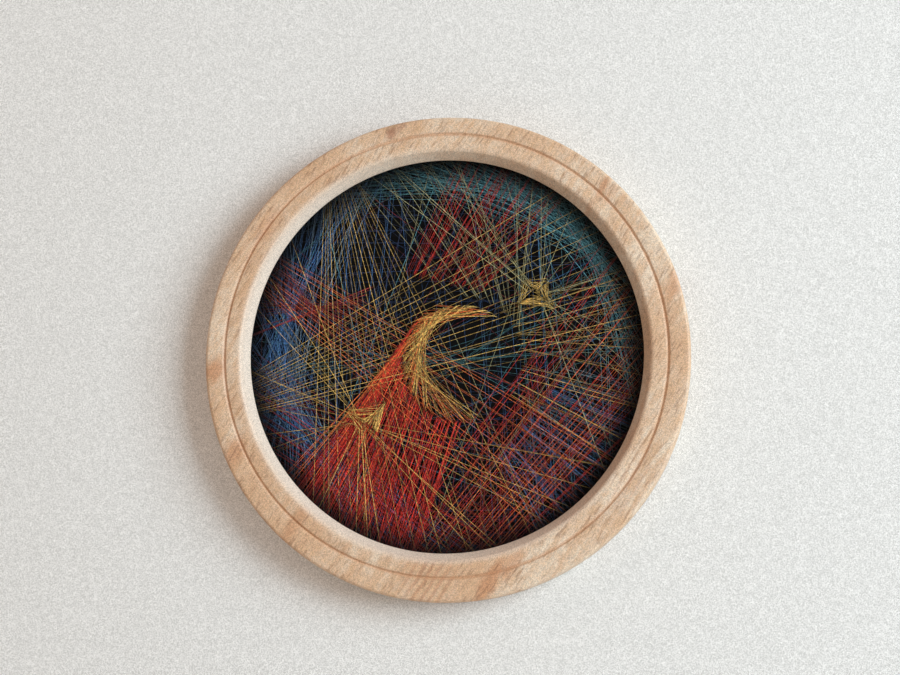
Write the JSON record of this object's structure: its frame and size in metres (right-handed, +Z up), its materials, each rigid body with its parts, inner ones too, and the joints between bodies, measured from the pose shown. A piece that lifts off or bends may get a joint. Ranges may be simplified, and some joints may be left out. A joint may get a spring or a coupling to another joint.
{
  "type": "circular string art",
  "caption": "Round turned wooden wall frame with a grooved face, holding layers of coloured threads strung from rim to rim over a black board.",
  "frame": {"origin": "centre of the back, on the wall", "axes": "+Z up the wall, +Y into the wall, the front faces -Y and +X is to the right seen from the front"},
  "size_m": [0.4, 0.03, 0.4],
  "materials": {
    "frame_wood": "pale beech-like wood, sanded, matt oil, grain running diagonally across the whole ring",
    "board_black": "matt black painted board",
    "thread_gold": "twisted sewing thread, soft sheen",
    "thread_orange": "twisted sewing thread, soft sheen",
    "thread_red": "twisted sewing thread, soft sheen",
    "thread_teal": "twisted sewing thread, soft sheen",
    "thread_blue": "twisted sewing thread, soft sheen",
    "thread_navy": "twisted sewing thread, soft sheen"
  },
  "bodies": {
    "root": {"frame_ring": "frame_wood", "backing_board": "board_black", "threads_gold": "thread_gold", "threads_orange": "thread_orange", "threads_red": "thread_red", "threads_teal": "thread_teal", "threads_blue": "thread_blue", "threads_navy": "thread_navy"}
  },
  "joints": []
}
